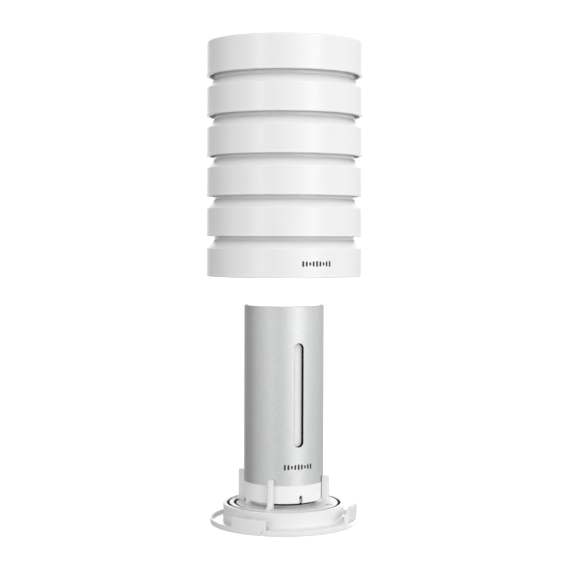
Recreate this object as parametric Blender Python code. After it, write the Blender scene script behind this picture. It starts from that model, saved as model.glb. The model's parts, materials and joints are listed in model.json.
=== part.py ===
"""Outdoor weather module in its clip-in base, with its louvred radiation shield lifted above it.

The shield is drawn at the height where it is held to be lowered over the module.  Sizes below are
millimetres and degrees; meshes are written in metres.  Angles run from the front (-Y) towards +X.
"""
import math

import bmesh
import bpy
from mathutils import Matrix, Vector

MM = 0.001
GAP = 0.3                    # clearance between pieces that touch
SEGMENTS = 40                # sides of a large turned piece
SMALL = 12                   # sides of a screw, a rod or a pin
STEP = 4.5                   # angle between the points of a curved bar
ARC_STEPS = 8                # sides of a half circle
OVERLAP = 0.5                # how far joined shapes reach into each other
REACH = 1.0                  # how far a cutting shape reaches past the surface it cuts

# Louvred shield, heights from its lower rim
SHIELD_LIFT = 139.5          # lower rim above the ground in the lifted pose
SHIELD_RADIUS = 43.9
SHIELD_HEIGHT = 130.9
PITCH = 22.35                # from one louvre to the next
LOUVRES = 5
SKIRT_WALL = 1.7
SKIRT_HEIGHT = 15.6          # straight part of a louvre
SHOULDER_WALL = 1.5
SHOULDER_DROP = 0.5          # how much lower the shoulder meets the throat on the inside
THROAT_RADIUS = 39.4
THROAT_FOOT = 20.6           # height where the shoulder meets the upright throat
THROAT_TOP = 26.0
THROAT_WALL = 1.6
RIM_CHAMFER = 0.5
ROOF_THICKNESS = 2.0
ROOF_CHAMFER = 0.6

# Rods that hold the louvres
ROD_CIRCLE = 33.0
ROD_ANGLES = (90, 210, 330)
ROD_RADIUS = 1.5
LUG_RADIUS = 4.2
LUG_BOTTOM = 22.6
LUG_THICKNESS = 2.5
BOSS_RADIUS = 3.6
BOSS_BOTTOM = 119.0          # of the bosses under the roof
ROD_BOTTOM = 17.5
ROD_HEADROOM = 4.0           # from the end of a rod to the ceiling
INSERT_RADIUS = 2.6
INSERT_HEADROOM = 3.0
INSERT_SET = 1.0             # from the end of a boss up to its insert
INSERT_ROOF = 1.0            # from the end of an insert's hole to the ceiling
POST_BOTTOM = 11.2           # landing posts, above the shield's lower rim
POST_RADIUS = 1.3
POST_COLLAR = 2.7
POST_COLLAR_HEIGHT = 7.0

# Weather module, heights from the underside of its battery cover
MODULE_SEAT = 14.0           # underside of the battery cover above the ground
MODULE_RADIUS = 22.5
MODULE_HEIGHT = 109.3
TUBE_WALL = 1.5
COVER_HEIGHT = 10.0
COVER_EDGE = 0.6             # chamfer round the foot of the battery cover
COLLAR_RADIUS = 19.6         # collar of the battery cover, inside the tube
COLLAR_WALL = 1.5
COLLAR_HEIGHT = 3.6
COVER_FLOOR = 2.0
LID_THICKNESS = 2.2          # top cap, whose rim reaches down as a plug
LID_DEPTH = 6.0
LID_WALL = 1.6
SLOT_WIDTH = 5.6
SLOT_BOTTOM = 31.2
SLOT_TOP = 89.0
NOTCH_ANGLE = 3.4
NOTCH_WIDTH = 1.9
NOTCH_HEIGHT = 4.4
NOTCH_BACK = 20.0            # radius where the notch ends
CATCH_FRONT = 0.6            # how far the catch stands back from the cover's surface
CATCH_SPAN = (0.4, 2.4)
COVER_LUG = (1.5, 0.7)       # how far a bayonet lug reaches in and out of the collar's inner face
COVER_LUG_ANGLES = (90, 270)
COVER_LUG_HALF_ANGLE = 12.0
COVER_LUG_HEIGHTS = (8.5, 10.5)
SEAL_HEIGHT = 1.6

# Inside the module
BATTERY_RADIUS = 5.2
BATTERY_LENGTH = 43.5
BATTERY_BOTTOM = 18.5
BATTERY_POLE = (1.9, 1.0)    # radius and height of the raised pole
BATTERY_CHAMFER = 0.3
BATTERY_X = 6.0
BATTERY_Y = 7.0
SHELF_BOTTOM = BATTERY_BOTTOM + BATTERY_LENGTH + 5
SHELF_THICKNESS = 1.8
SHELF_HALF_WIDTH = 12.0
SHELF_BACK = 13.0
DIVIDER_THICKNESS = 0.8
DIVIDER_BACK = 12.0
BOARD_Y = -6.0
BOARD_THICKNESS = 1.6
BOARD_WIDTH = 30.0
BOARD_BOTTOM = 19.0
BOARD_TOP = 95.0
BOARD_SCREW_X = 12.5
BOARD_SCREW_HEIGHTS = (24, 91)
BOARD_SCREW = ((0, 0), (1.9, 0), (1.9, 0.9), (0.9, 0.9), (0.9, 1.5), (0, 1.5))
BOARD_SCREW_LENGTH = 1.5
BOARD_ITEMS = (              # name, finish, left edge, lower edge, width, height, depth
    ("radio_can", "steel", -8.0, 72.0, 16.0, 14.0, 2.4),
    ("controller_chip", "black", -4.0, 56.0, 8.0, 8.0, 1.2),
    ("humidity_sensor", "white", -1.6, 46.0, 3.2, 3.2, 1.4),
    ("pressure_sensor", "steel", 5.4, 46.0, 3.2, 3.2, 1.3),
    ("status_led", "clear", -1.1, 38.0, 2.2, 2.2, 0.9),
)
ANTENNA_LEFT = -10.0
ANTENNA_SPAN = (88.0, 94.0)
ANTENNA_LEG = 2.5            # from one upright stroke to the next
ANTENNA_STROKES = 9
ANTENNA_WIDTH = 1.0
ANTENNA_FOIL = 0.4
CHASSIS_TOP = 100.0
CHASSIS_PLATE = 2.0          # thickness of the chassis's head disc and foot ring
CHASSIS_FOOT = 14.5
CHASSIS_FOOT_RADIUS = 17.6
CHASSIS_FOOT_BORE = 13.3     # leaves room for the lower contact as the cover turns
SPINE_WIDTH = 28.0
SPINE_THICKNESS = 2.2
DIFFUSER_WIDTH = 7.2
DIFFUSER_DEPTHS = (3.0, 6.0)     # front and back of the light guide behind the tube's surface
DIFFUSER_OVERLAP = 2.0           # beyond each end of the slot
CONTACT_BASE_RADIUS = 3.4
CONTACT_TIP_RADIUS = 1.8
CONTACT_PLATE = (10.0, 4.0, 0.8)     # half width, half depth and thickness
GASKET_WIDTH = 1.4

# Base, heights from the ground
FLANGE_RADIUS = 41.6
FLANGE_THICKNESS = 2.75
EDGE = 0.3                   # chamfer of the base's edges
DRUM_FOOT_RADIUS = 34.0
DRUM_RADIUS = 34.4
DRUM_TOP = 11.3
OUTER_GROOVE = (30.7, 32.3)
INNER_GROOVE = (26.8, 28.4)
INNER_GROOVE_SPAN = (104, 390)   # the inner groove stops short at the latch side
END_GAP = 1.0                # angle between the inner groove's filling and each end of the groove
GROOVE_FLOOR = 8.4
GROOVE_FILL_TOP = 11.0
BOWL_FLOOR = 5.4
CRADLE_BORE = 9.0
CRADLE_DECK = 11.1
CRADLE_FLOOR = 9.6
SEAT_RING = (16.4, 19.4)     # raised ring of the cradle under the seat pad
SEAT_RING_TOP = 12.9
SEAT_PAD = (16.7, 19.2)
SEAT_PAD_SPAN = (-42.0, 225.0)
SEAT_LEDGES = ((-123.0, -90.0), (-82.0, -45.0))      # parts of the ring as high as the pad
CLIP_ANGLES = (-39, 51, 141, 231)
CLIP_INNER = 22.9
CLIP_OUTER = 26.8
CLIP_WIDTH = 3.0
CLIP_TOPS = (27.6, 27.6, 28.9, 28.9)
CLIP_ROOT = 2.4              # thickness of a clip where it enters the deck
CLIP_FOOT = 29.2             # radius that the foot of a clip reaches
CLIP_INSTEP = 27.8
CLIP_FOOT_HEIGHTS = (0.8, 1.4, 3.4)
CLIP_CHAMFER = 0.7
SCREW_CIRCLE = 13.0
SCREW_ANGLES = (60, 180, 300)
CRADLE_SCREW = ((0, 0.4), (2.8, 0.4), (2.8, 1.9), (1.1, 1.9), (1.1, 7.6), (0, 7.6))
SCREW_RECESS = (3.2, 2.2)    # radius and depth of the hole for a screw's head
SCREW_HOLE = 1.7
SCREW_SOCKET = (1.4, 3.0)    # radius and depth of the hole in the cradle
PAD_CIRCLE = 20.0
PAD_ANGLES = (0, 120, 240)
PAD_RADIUS = 4.0
PAD_THICKNESS = 0.8

# Springy strips round the base and the release latch
STRIP_INNER = 40.4
STRIP_REAR = 152.0           # angle where both strips meet the rear of the flange
PANEL_SPAN = (-65.8, -35.5)
PANEL_INNER = 40.2
PANEL_TOP = 8.4
PANEL_OVERLAP = 3.0          # angle that the panel and its strip share
PANEL_NOTCH = -38.5
PANEL_NOTCH_WIDTH = 1.2
PANEL_NOTCH_TOP = 2.35
GUIDE_SPAN = (32.5, 38.2)
GUIDE_INNER = 40.4
GUIDE_TOP = 8.1
LATCH_SPAN = (39.0, 67.5)
LATCH_SLIT = (41.4, 43.2)
LATCH_SLOPE = 60.0           # angle where the far end of the latch drops
LATCH_SLOPE_DROP = 1.6
LATCH_INNER = 39.4
LATCH_BOTTOM = 3.1
LATCH_BAR_TOP = 8.6
LATCH_TOP = 12.0
LATCH_FRONT_TOP = 10.9       # top of the short prong next to the guide
LATCH_UNDERCUT = (0.7, 4.2, 4.5)     # depth and heights of the step along the latch's foot
LATCH_CHAMFER = 0.8
LEAF_HALF_WIDTH = 1.5
LEAF_SIDE = ((34.5, 3.3), (36.2, 3.3), (37.6, 4.5), (37.6, 5.3), (36.0, 4.1), (34.5, 4.1))
RIGHT_STRIP_START = 68.6
WINDOW_GAP = 0.45            # angle between a strip and the end of its window

PALETTE = {
    "white": ((0.86, 0.86, 0.86), 0.35, 0.0),
    "aluminium": ((0.62, 0.63, 0.64), 0.35, 1.0),
    "black": ((0.012, 0.012, 0.013), 0.6, 0.0),
    "grey": ((0.35, 0.36, 0.37), 0.5, 0.0),
    "green": ((0.02, 0.16, 0.06), 0.45, 0.0),
    "steel": ((0.55, 0.55, 0.56), 0.3, 1.0),
    "brass": ((0.75, 0.55, 0.22), 0.3, 1.0),
    "clear": ((0.92, 0.92, 0.90), 0.2, 0.0),
    "wrap": ((0.10, 0.12, 0.16), 0.4, 0.0),
}


# ---------------------------------------------------------------- shapes

def polar(radius, angle, height):
    """Point at a radius and an angle from the front, in metres."""
    turn = math.radians(angle)
    return Vector((radius * math.sin(turn), -radius * math.cos(turn), height)) * MM


def finished(bm):
    """Mesh of a bmesh, with its faces pointing out."""
    bmesh.ops.recalc_face_normals(bm, faces=bm.faces)
    mesh = bpy.data.meshes.new("shape")
    bm.to_mesh(mesh)
    bm.free()
    return mesh


def half_circle(x, y, radius, start):
    """Points of a half circle, counter-clockwise from an angle."""
    turns = [math.radians(start + 180 * i / ARC_STEPS) for i in range(ARC_STEPS + 1)]
    return [(x + radius * math.cos(turn), y + radius * math.sin(turn)) for turn in turns]


def turned(outline, segments=SEGMENTS):
    """Solid of revolution about Z from a closed outline of (radius, height) points."""
    bm = bmesh.new()
    rings = []
    for radius, height in outline:
        if radius == 0:
            rings.append([bm.verts.new((0, 0, height * MM))] * segments)
        else:
            angles = [360 * i / segments for i in range(segments)]
            rings.append([bm.verts.new(polar(radius, angle, height)) for angle in angles])
    for first, second in zip(rings, rings[1:] + rings[:1]):
        for i in range(segments):
            j = (i + 1) % segments
            corners = list(dict.fromkeys((first[i], first[j], second[j], second[i])))
            if len(corners) > 2:
                bm.faces.new(corners)
    return finished(bm)


def swept(outline, start, end, step=STEP):
    """Curved bar: a closed outline of (radius, height) points swept from one angle to another."""
    count = max(1, round(abs(end - start) / step))
    bm = bmesh.new()
    sections = []
    for i in range(count + 1):
        angle = start + (end - start) * i / count
        sections.append([bm.verts.new(polar(radius, angle, height)) for radius, height in outline])
    for first, second in zip(sections, sections[1:]):
        for i in range(len(outline)):
            j = (i + 1) % len(outline)
            bm.faces.new((first[i], first[j], second[j], second[i]))
    bm.faces.new(sections[0])
    bm.faces.new(sections[-1])
    return finished(bm)


def bar(inner, outer, bottom, top, start, end, step=STEP):
    """Curved bar of rectangular section."""
    outline = ((inner, bottom), (outer, bottom), (outer, top), (inner, top))
    return swept(outline, start, end, step)


def prism(outline, bottom, top):
    """Upright prism over an outline of (x, y) points."""
    bm = bmesh.new()
    lower = [bm.verts.new(Vector((x, y, bottom)) * MM) for x, y in outline]
    upper = [bm.verts.new(Vector((x, y, top)) * MM) for x, y in outline]
    for i in range(len(outline)):
        j = (i + 1) % len(outline)
        bm.faces.new((lower[i], lower[j], upper[j], upper[i]))
    bm.faces.new(lower)
    bm.faces.new(upper)
    return finished(bm)


def block(low, high):
    """Box between two corners."""
    outline = ((low[0], low[1]), (high[0], low[1]), (high[0], high[1]), (low[0], high[1]))
    return prism(outline, low[2], high[2])


def disc(x, y, radius, bottom, top, segments=SMALL):
    """Upright cylinder at a place in plan."""
    angles = [2 * math.pi * i / segments for i in range(segments)]
    return prism([(x + radius * math.cos(a), y + radius * math.sin(a)) for a in angles], bottom, top)


def disc_at(circle, angle, radius, bottom, top, segments=SMALL):
    """Upright cylinder on a circle about the axis."""
    centre = polar(circle, angle, 0) / MM
    return disc(centre.x, centre.y, radius, bottom, top, segments)


def grouped(meshes):
    """Several separate shapes in one mesh, to unite or cut in one step."""
    bm = bmesh.new()
    for mesh in meshes:
        bm.from_mesh(mesh)
    return finished(bm)


def carved(body, add=(), remove=()):
    """Mesh of a body with other shapes united to it and then cut from it."""
    owner = bpy.data.objects.new("owner", body)
    bpy.context.collection.objects.link(owner)
    helpers = []
    for operation, meshes in (("UNION", add), ("DIFFERENCE", remove)):
        for mesh in meshes:
            helper = bpy.data.objects.new("helper", mesh)
            bpy.context.collection.objects.link(helper)
            helper.hide_render = True
            helper.display_type = "WIRE"
            helpers.append(helper)
            modifier = owner.modifiers.new(operation.lower(), "BOOLEAN")
            modifier.operation = operation
            modifier.object = helper
    depsgraph = bpy.context.evaluated_depsgraph_get()
    result = bpy.data.meshes.new_from_object(owner.evaluated_get(depsgraph))
    for extra in helpers + [owner]:
        bpy.data.objects.remove(extra)
    return result


# ---------------------------------------------------------------- objects

def paint(name, finish):
    """Principled material in one of the palette's finishes."""
    colour, roughness, metallic = PALETTE[finish]
    material = bpy.data.materials.new(name + "_finish")
    material.use_nodes = True
    shader = material.node_tree.nodes["Principled BSDF"]
    shader.inputs["Base Color"].default_value = (*colour, 1)
    shader.inputs["Roughness"].default_value = roughness
    shader.inputs["Metallic"].default_value = metallic
    return material


def part(name, mesh, finish, parent=None, lift=0.0):
    """One named sub-part, standing in its parent's frame at a height above it."""
    mesh = mesh.copy()
    mesh.name = name
    mesh.shade_smooth()
    mesh.set_sharp_from_angle(angle=math.radians(30))
    mesh.materials.clear()
    mesh.materials.append(paint(name, finish))
    piece = bpy.data.objects.new(name, mesh)
    bpy.context.collection.objects.link(piece)
    piece.parent = parent
    piece.location.z = lift * MM
    return piece


def frame(name, height):
    """Empty on the vertical axis that a moving group hangs from."""
    empty = bpy.data.objects.new(name, None)
    bpy.context.collection.objects.link(empty)
    empty.location.z = height * MM
    return empty


# ---------------------------------------------------------------- shield

def lug_outline(angle):
    """Rounded lug that reaches inwards from the throat to a rod, seen from above."""
    turn = math.radians(angle)
    outward = Vector((math.sin(turn), -math.cos(turn)))
    across = Vector((-outward.y, outward.x))
    centre = outward * ROD_CIRCLE
    root = outward * (THROAT_RADIUS - THROAT_WALL / 2)
    corners = [tuple(root - across * LUG_RADIUS), tuple(root + across * LUG_RADIUS)]
    return corners + half_circle(*centre, LUG_RADIUS, angle)


def louvre_mesh(boss_top):
    """Ring with a skirt, a sloping shoulder, a throat and three lugs with spacer bosses."""
    inner = SHIELD_RADIUS - SKIRT_WALL
    throat_inner = THROAT_RADIUS - THROAT_WALL
    outline = (
        (inner, 0), (SHIELD_RADIUS - RIM_CHAMFER, 0), (SHIELD_RADIUS, RIM_CHAMFER),
        (SHIELD_RADIUS, SKIRT_HEIGHT), (THROAT_RADIUS, THROAT_FOOT), (THROAT_RADIUS, THROAT_TOP),
        (throat_inner, THROAT_TOP), (throat_inner, THROAT_FOOT - SHOULDER_DROP),
        (inner, SKIRT_HEIGHT - SHOULDER_WALL),
    )
    lug_top = LUG_BOTTOM + LUG_THICKNESS
    lugs = []
    bosses = []
    holes = []
    for angle in ROD_ANGLES:
        lugs.append(prism(lug_outline(angle), LUG_BOTTOM, lug_top))
        bosses.append(disc_at(ROD_CIRCLE, angle, BOSS_RADIUS, lug_top - REACH, boss_top, 10))
        holes.append(disc_at(ROD_CIRCLE, angle, ROD_RADIUS + GAP, LUG_BOTTOM - REACH,
                             boss_top + REACH, 8))
    return carved(turned(outline), add=[grouped(lugs), grouped(bosses)], remove=[grouped(holes)])


def roof_mesh():
    """Top louvre, closed by the roof, with a boss for each rod."""
    rim = PITCH * LOUVRES
    inner = SHIELD_RADIUS - SKIRT_WALL
    ceiling = SHIELD_HEIGHT - ROOF_THICKNESS
    outline = (
        (inner, rim), (SHIELD_RADIUS - RIM_CHAMFER, rim), (SHIELD_RADIUS, rim + RIM_CHAMFER),
        (SHIELD_RADIUS, SHIELD_HEIGHT - ROOF_CHAMFER),
        (SHIELD_RADIUS - ROOF_CHAMFER, SHIELD_HEIGHT),
        (0, SHIELD_HEIGHT), (0, ceiling), (inner, ceiling),
    )
    bosses = []
    holes = []
    for angle in ROD_ANGLES:
        bosses.append(disc_at(ROD_CIRCLE, angle, BOSS_RADIUS, BOSS_BOTTOM, ceiling + OVERLAP))
        holes.append(disc_at(ROD_CIRCLE, angle, INSERT_RADIUS + GAP, BOSS_BOTTOM - REACH,
                             ceiling - INSERT_ROOF))
    return carved(turned(outline), add=bosses, remove=[grouped(holes)])


def post_mesh():
    """Foot that ends a rod: a collar under the lowest lug over a thinner leg."""
    collar_top = LUG_BOTTOM - GAP
    collar_bottom = collar_top - POST_COLLAR_HEIGHT
    bore = ROD_RADIUS + GAP
    bore_bottom = ROD_BOTTOM - GAP
    return turned((
        (0, POST_BOTTOM), (POST_RADIUS, POST_BOTTOM), (POST_RADIUS, collar_bottom),
        (POST_COLLAR, collar_bottom), (POST_COLLAR, collar_top), (bore, collar_top),
        (bore, bore_bottom), (0, bore_bottom),
    ), 10)


def make_shield():
    """Roof, five louvre rings and the rods, inserts and landing posts that hold them."""
    shield = frame("shield_frame", SHIELD_LIFT)
    part("shield_roof", roof_mesh(), "white", shield)
    ring = louvre_mesh(LUG_BOTTOM + PITCH - GAP)
    last_ring = louvre_mesh(BOSS_BOTTOM - PITCH * (LOUVRES - 1) - GAP)
    for i in range(LOUVRES - 1):
        part(f"louvre_ring_{i + 1}", ring, "white", shield, PITCH * i)
    part(f"louvre_ring_{LOUVRES}", last_ring, "white", shield, PITCH * (LOUVRES - 1))

    ceiling = SHIELD_HEIGHT - ROOF_THICKNESS
    rod = disc(0, 0, ROD_RADIUS, ROD_BOTTOM, ceiling - ROD_HEADROOM, 10)
    bore = ROD_RADIUS + GAP
    insert_top = ceiling - INSERT_HEADROOM
    insert_bottom = BOSS_BOTTOM + INSERT_SET
    insert = turned(((bore, insert_bottom), (INSERT_RADIUS, insert_bottom),
                     (INSERT_RADIUS, insert_top), (bore, insert_top)), SMALL)
    for number, angle in enumerate(ROD_ANGLES, 1):
        place = polar(ROD_CIRCLE, angle, 0)
        for name, mesh, finish in (("tie_rod", rod, "steel"), ("rod_insert", insert, "brass"),
                                   ("landing_post", post_mesh(), "white")):
            piece = part(f"{name}_{number}", mesh, finish, shield)
            piece.location = place


# ---------------------------------------------------------------- weather module

def tube_mesh():
    """Aluminium tube with its upright slot."""
    bottom = COVER_HEIGHT + GAP
    inner = MODULE_RADIUS - TUBE_WALL
    outline = ((inner, bottom), (MODULE_RADIUS, bottom), (MODULE_RADIUS, MODULE_HEIGHT),
               (inner, MODULE_HEIGHT))
    half = SLOT_WIDTH / 2
    points = half_circle(0, SLOT_TOP - half, half, 0) + half_circle(0, SLOT_BOTTOM + half, half, 180)
    slot = prism(points, 0, MODULE_RADIUS + REACH)
    slot.transform(Matrix.Rotation(math.radians(90), 4, "X"))
    return carved(turned(outline), remove=[slot])


def top_cap_mesh():
    """White lid that plugs the tube and lies flush with its top."""
    top = MODULE_HEIGHT
    rim = MODULE_RADIUS - TUBE_WALL - GAP
    outline = (
        (0, top), (0, top - LID_THICKNESS), (rim - LID_WALL, top - LID_THICKNESS),
        (rim - LID_WALL, top - LID_DEPTH), (rim, top - LID_DEPTH), (rim, top),
    )
    return turned(outline)


def chassis_mesh():
    """Skeleton of a head disc, a foot ring, a spine, a battery shelf and a divider."""
    head_radius = MODULE_RADIUS - TUBE_WALL - 2 * GAP
    head_bottom = CHASSIS_TOP - CHASSIS_PLATE
    head = turned(((0, head_bottom), (head_radius, head_bottom),
                   (head_radius, CHASSIS_TOP), (0, CHASSIS_TOP)), 24)
    foot_top = CHASSIS_FOOT + CHASSIS_PLATE
    foot = turned(((CHASSIS_FOOT_BORE, CHASSIS_FOOT), (CHASSIS_FOOT_RADIUS, CHASSIS_FOOT),
                   (CHASSIS_FOOT_RADIUS, foot_top), (CHASSIS_FOOT_BORE, foot_top)), 24)
    half = SPINE_WIDTH / 2
    front = BOARD_Y + BOARD_THICKNESS + GAP
    spine = block((-half, front, foot_top - OVERLAP),
                  (half, front + SPINE_THICKNESS, head_bottom + OVERLAP))
    shelf = block((-SHELF_HALF_WIDTH, front + OVERLAP, SHELF_BOTTOM),
                  (SHELF_HALF_WIDTH, SHELF_BACK, SHELF_BOTTOM + SHELF_THICKNESS))
    half = DIVIDER_THICKNESS / 2
    divider = block((-half, front + OVERLAP, BATTERY_BOTTOM),
                    (half, DIVIDER_BACK, SHELF_BOTTOM + OVERLAP))
    return carved(head, add=[spine, foot, shelf, divider])


def battery_mesh():
    """AAA cell with its raised positive pole."""
    top = BATTERY_BOTTOM + BATTERY_LENGTH
    pole, pole_height = BATTERY_POLE
    outline = (
        (0, BATTERY_BOTTOM), (BATTERY_RADIUS - BATTERY_CHAMFER, BATTERY_BOTTOM),
        (BATTERY_RADIUS, BATTERY_BOTTOM + BATTERY_CHAMFER),
        (BATTERY_RADIUS, top - BATTERY_CHAMFER), (BATTERY_RADIUS - BATTERY_CHAMFER, top),
        (pole, top), (pole, top + pole_height),
        (0, top + pole_height),
    )
    return turned(outline, 20)


def moved(mesh, x, y, z=0.0):
    """Copy of a mesh shifted to a place."""
    mesh = mesh.copy()
    mesh.transform(Matrix.Translation(Vector((x, y, z)) * MM))
    return mesh


def cone(base, top):
    """Cone contact, drawn as the outer shape of its coil, wide at its base."""
    return turned(((0, base), (CONTACT_BASE_RADIUS, base), (CONTACT_TIP_RADIUS, top), (0, top)), 10)


def antenna_mesh():
    """Meandering trace at the top of the board."""
    face = BOARD_Y - GAP
    front = face - ANTENNA_FOIL
    bottom, top = ANTENNA_SPAN
    strokes = []
    for i in range(ANTENNA_STROKES):
        left = ANTENNA_LEFT + ANTENNA_LEG * i
        strokes.append(block((left, front, bottom), (left + ANTENNA_WIDTH, face, top)))
    for i in range(ANTENNA_STROKES - 1):
        left = ANTENNA_LEFT + ANTENNA_LEG * i
        right = left + ANTENNA_LEG + ANTENNA_WIDTH
        low = bottom if i % 2 else top - ANTENNA_WIDTH
        strokes.append(block((left + ANTENNA_WIDTH / 2, front, low),
                             (right - ANTENNA_WIDTH / 2, face, low + ANTENNA_WIDTH)))
    return carved(strokes[0], add=strokes[1:])


def make_board(module):
    """Circuit board with what it carries and the screws that hold it."""
    board = block((-BOARD_WIDTH / 2, BOARD_Y, BOARD_BOTTOM),
                  (BOARD_WIDTH / 2, BOARD_Y + BOARD_THICKNESS, BOARD_TOP))
    part("circuit_board", board, "green", module)
    face = BOARD_Y - GAP
    for name, finish, x, z, width, height, depth in BOARD_ITEMS:
        part(name, block((x, face - depth, z), (x + width, face, z + height)), finish, module)
    part("trace_antenna", antenna_mesh(), "brass", module)
    screw = turned(BOARD_SCREW, 10)
    screw.transform(Matrix.Rotation(math.radians(-90), 4, "X"))
    corners = [(x, z) for z in BOARD_SCREW_HEIGHTS for x in (-BOARD_SCREW_X, BOARD_SCREW_X)]
    for number, (x, z) in enumerate(corners, 1):
        part(f"board_screw_{number}", moved(screw, x, face - BOARD_SCREW_LENGTH, z), "steel", module)


def make_module_inside(module):
    """Chassis, board, light guide, cells, contacts and gasket."""
    part("inner_chassis", chassis_mesh(), "grey", module)
    make_board(module)
    front, back = (-(MODULE_RADIUS - depth) for depth in DIFFUSER_DEPTHS)
    half = DIFFUSER_WIDTH / 2
    diffuser = block((-half, front, SLOT_BOTTOM - DIFFUSER_OVERLAP),
                     (half, back, SLOT_TOP + DIFFUSER_OVERLAP))
    part("slot_diffuser", diffuser, "clear", module)

    cell = battery_mesh()
    pole_top = BATTERY_BOTTOM + BATTERY_LENGTH + BATTERY_POLE[1]
    contact = cone(SHELF_BOTTOM - GAP, pole_top + GAP)
    for side, x in (("left", -BATTERY_X), ("right", BATTERY_X)):
        part(f"battery_{side}", moved(cell, x, BATTERY_Y), "wrap", module)
        part(f"upper_contact_{side}", moved(contact, x, BATTERY_Y), "steel", module)

    outer = MODULE_RADIUS - TUBE_WALL - 2 * GAP
    inner = outer - GASKET_WIDTH
    bottom = CHASSIS_TOP + GAP
    top = MODULE_HEIGHT - LID_DEPTH - GAP
    gasket = turned(((inner, bottom), (outer, bottom), (outer, top), (inner, top)), 32)
    part("top_gasket", gasket, "black", module)


def cover_mesh():
    """Battery cover: a shallow cup with a collar, two lugs and an arched notch."""
    collar_inner = COLLAR_RADIUS - COLLAR_WALL
    collar_top = COVER_HEIGHT + COLLAR_HEIGHT
    outline = (
        (0, 0), (MODULE_RADIUS - COVER_EDGE, 0), (MODULE_RADIUS, COVER_EDGE),
        (MODULE_RADIUS, COVER_HEIGHT), (COLLAR_RADIUS, COVER_HEIGHT), (COLLAR_RADIUS, collar_top),
        (collar_inner, collar_top), (collar_inner, COVER_FLOOR), (0, COVER_FLOOR),
    )
    lug_inner = collar_inner - COVER_LUG[0]
    lug_outer = collar_inner + COVER_LUG[1]
    lugs = []
    for angle in COVER_LUG_ANGLES:
        lugs.append(bar(lug_inner, lug_outer, *COVER_LUG_HEIGHTS,
                        angle - COVER_LUG_HALF_ANGLE, angle + COVER_LUG_HALF_ANGLE))
    half = NOTCH_WIDTH / 2
    points = half_circle(0, NOTCH_HEIGHT - half, half, 0) + [(-half, -REACH), (half, -REACH)]
    notch = prism(points, NOTCH_BACK, MODULE_RADIUS + REACH)
    notch.transform(Matrix.Rotation(math.radians(90), 4, "X"))
    notch.transform(Matrix.Rotation(math.radians(NOTCH_ANGLE), 4, "Z"))
    return carved(turned(outline), add=lugs, remove=[notch])


def make_cover(module):
    """Battery cover with its seal, its catch and the contact that joins the two cells."""
    cover = frame("cover_frame", 0)
    cover.parent = module
    part("battery_cover", cover_mesh(), "white", cover)
    seal_inner = COLLAR_RADIUS + GAP
    seal_outer = MODULE_RADIUS - TUBE_WALL - GAP
    seal_bottom = COVER_HEIGHT + GAP
    seal_top = seal_bottom + SEAL_HEIGHT
    seal = turned(((seal_inner, seal_bottom), (seal_outer, seal_bottom), (seal_outer, seal_top),
                   (seal_inner, seal_top)), 32)
    part("cover_seal", seal, "black", cover)
    half = NOTCH_WIDTH / 2 - GAP
    catch_bottom, catch_top = CATCH_SPAN
    catch = block((-half, CATCH_FRONT - MODULE_RADIUS, catch_bottom),
                  (half, -(NOTCH_BACK + GAP), catch_top))
    catch.transform(Matrix.Rotation(math.radians(NOTCH_ANGLE), 4, "Z"))
    part("cover_catch", catch, "grey", cover)
    plate_bottom = COVER_FLOOR + GAP
    half_width, half_depth, thickness = CONTACT_PLATE
    plate_top = plate_bottom + thickness
    plate = block((-half_width, BATTERY_Y - half_depth, plate_bottom),
                  (half_width, BATTERY_Y + half_depth, plate_top))
    shape = cone(plate_top - OVERLAP, BATTERY_BOTTOM - GAP)
    cones = [moved(shape, x, BATTERY_Y) for x in (-BATTERY_X, BATTERY_X)]
    part("lower_contact", carved(plate, add=[grouped(cones)]), "steel", cover)


def make_module():
    """The weather module: tube, cap, everything inside and the battery cover."""
    module = frame("module_frame", MODULE_SEAT)
    part("sensor_tube", tube_mesh(), "aluminium", module)
    part("top_cap", top_cap_mesh(), "white", module)
    make_module_inside(module)
    make_cover(module)


# ---------------------------------------------------------------- base

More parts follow.
